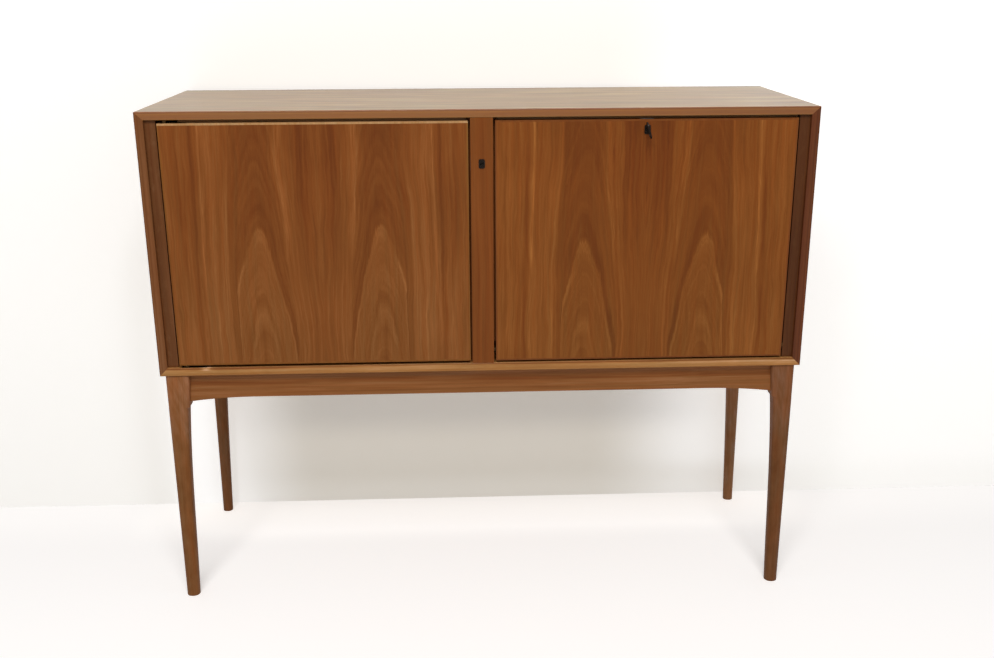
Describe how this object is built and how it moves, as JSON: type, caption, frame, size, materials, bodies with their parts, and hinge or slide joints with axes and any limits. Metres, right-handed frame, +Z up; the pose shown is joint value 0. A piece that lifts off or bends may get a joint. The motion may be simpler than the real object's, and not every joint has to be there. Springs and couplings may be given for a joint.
{
  "type": "bar cabinet",
  "caption": "Walnut bar cabinet on tapered legs: a locking side-hung door, a keyed drop-down flap on folding stays, and shelves behind.",
  "frame": {"origin": "centre of the footprint of the whole part, key included, on the floor", "axes": "+X along the width to the flap's side, +Y from the front to the back, +Z up"},
  "size_m": [1.2, 0.422, 0.95],
  "materials": {
    "case_veneer": "straight-grained walnut veneer, oiled satin",
    "front_veneer": "book-matched cathedral walnut veneer, satin lacquer",
    "lipping_walnut": "solid walnut edge lipping, satin",
    "leg_walnut": "solid walnut, satin",
    "interior_wood": "pale veneered interior, matt",
    "back_plywood": "plain plywood, matt",
    "block_wood": "sawn softwood, matt",
    "flap_laminate": "wipe-clean laminate, semi-gloss",
    "brass": "aged satin brass",
    "dark_bronze": "dark bronzed brass",
    "steel": "zinc-plated steel"
  },
  "bodies": {
    "case": {"case_top_panel": "case_veneer", "case_bottom_panel": "case_veneer", "case_left_panel": "case_veneer", "case_right_panel": "case_veneer", "back_panel": "back_plywood", "back_panel_screws": "steel", "centre_partition": "interior_wood", "centre_stile": "case_veneer", "left_front_strip": "case_veneer", "right_front_strip": "case_veneer", "cupboard_shelf": "interior_wood", "cupboard_shelf_pins": "brass", "bar_shelf": "interior_wood", "bar_shelf_pins": "brass", "door_stop": "interior_wood", "flap_stops": "interior_wood", "door_hinge_case_plates": "brass", "case_hinge_screws": "steel", "flap_pivot_pins": "brass", "flap_strike_plate": "brass", "door_lock_case": "steel", "door_escutcheon": "dark_bronze", "stay_guide_mounts": "brass", "front_left_leg": "leg_walnut", "front_right_leg": "leg_walnut", "back_left_leg": "leg_walnut", "back_right_leg": "leg_walnut", "front_rail": "leg_walnut", "back_rail": "leg_walnut", "left_rail": "leg_walnut", "right_rail": "leg_walnut", "corner_blocks": "block_wood", "frame_screws": "steel"},
    "door": {"door_panel": "front_veneer", "door_lippings": "lipping_walnut", "door_hinge_door_plates": "brass", "door_hinge_screws": "steel", "door_strike_plate": "brass"},
    "flap": {"flap_panel": "front_veneer", "flap_laminate": "flap_laminate", "flap_lippings": "lipping_walnut", "flap_pivot_bushes": "brass", "flap_lock_case": "steel", "flap_escutcheon": "dark_bronze", "stay_brackets": "brass"},
    "door_plug": {"door_lock_plug": "dark_bronze"},
    "door_bolt": {"door_lock_bolt": "brass"},
    "flap_plug": {"flap_lock_plug": "dark_bronze"},
    "flap_bolt": {"flap_lock_bolt": "brass"},
    "key": {"flap_key": "dark_bronze"},
    "rod_left": {"stay_rod_left": "brass"},
    "rod_right": {"stay_rod_right": "brass"},
    "guide_left": {"stay_guide_left": "brass"},
    "guide_right": {"stay_guide_right": "brass"}
  },
  "joints": [
    {"name": "door_hinge", "type": "hinge", "parent": "case", "child": "door", "pos_m": [-0.55, -0.18, 0.7081], "axis": [0, 0, -1], "range_deg": [0, 105]},
    {"name": "flap_hinge", "type": "hinge", "parent": "case", "child": "flap", "pos_m": [0.293, -0.1745, 0.50379], "axis": [1, 0, 0], "range_deg": [0, 90]},
    {"name": "stay_rod_left_pivot", "type": "hinge", "parent": "flap", "child": "rod_left", "pos_m": [0.034, -0.159, 0.6644], "axis": [1, 0, 0], "range_deg": [-45, 0]},
    {"name": "stay_guide_left_swivel", "type": "hinge", "parent": "case", "child": "guide_left", "pos_m": [0.034, -0.11533, 0.65391], "axis": [1, 0, 0], "range_deg": [0, 45]},
    {"name": "stay_rod_right_pivot", "type": "hinge", "parent": "flap", "child": "rod_right", "pos_m": [0.552, -0.159, 0.6644], "axis": [1, 0, 0], "range_deg": [-45, 0]},
    {"name": "stay_guide_right_swivel", "type": "hinge", "parent": "case", "child": "guide_right", "pos_m": [0.552, -0.11533, 0.65391], "axis": [1, 0, 0], "range_deg": [0, 45]},
    {"name": "door_lock_turn", "type": "hinge", "parent": "case", "child": "door_plug", "pos_m": [0, -0.186, 0.854], "axis": [0, 1, 0], "range_deg": [0, 90]},
    {"name": "door_bolt_slide", "type": "slide", "parent": "case", "child": "door_bolt", "axis": [-1, 0, 0], "range_m": [0, 0.01]},
    {"name": "flap_lock_turn", "type": "hinge", "parent": "flap", "child": "flap_plug", "pos_m": [0.293, -0.186, 0.9119], "axis": [0, 1, 0], "range_deg": [0, 90]},
    {"name": "flap_bolt_slide", "type": "slide", "parent": "flap", "child": "flap_bolt", "axis": [0, 0, 1], "range_m": [0, 0.01]},
    {"name": "key_pull", "type": "slide", "parent": "flap_plug", "child": "key", "axis": [0, -1, 0], "range_m": [0, 0.035]}
  ],
  "couplings": [
    {"joint": "stay_rod_left_pivot", "follows": "flap_hinge", "ratio": -0.5},
    {"joint": "stay_guide_left_swivel", "follows": "flap_hinge", "ratio": 0.5},
    {"joint": "stay_rod_right_pivot", "follows": "flap_hinge", "ratio": -0.5},
    {"joint": "stay_guide_right_swivel", "follows": "flap_hinge", "ratio": 0.5},
    {"joint": "door_bolt_slide", "follows": "door_lock_turn", "m_per_rad": 0.0063661},
    {"joint": "flap_bolt_slide", "follows": "flap_lock_turn", "m_per_rad": 0.0063661}
  ]
}
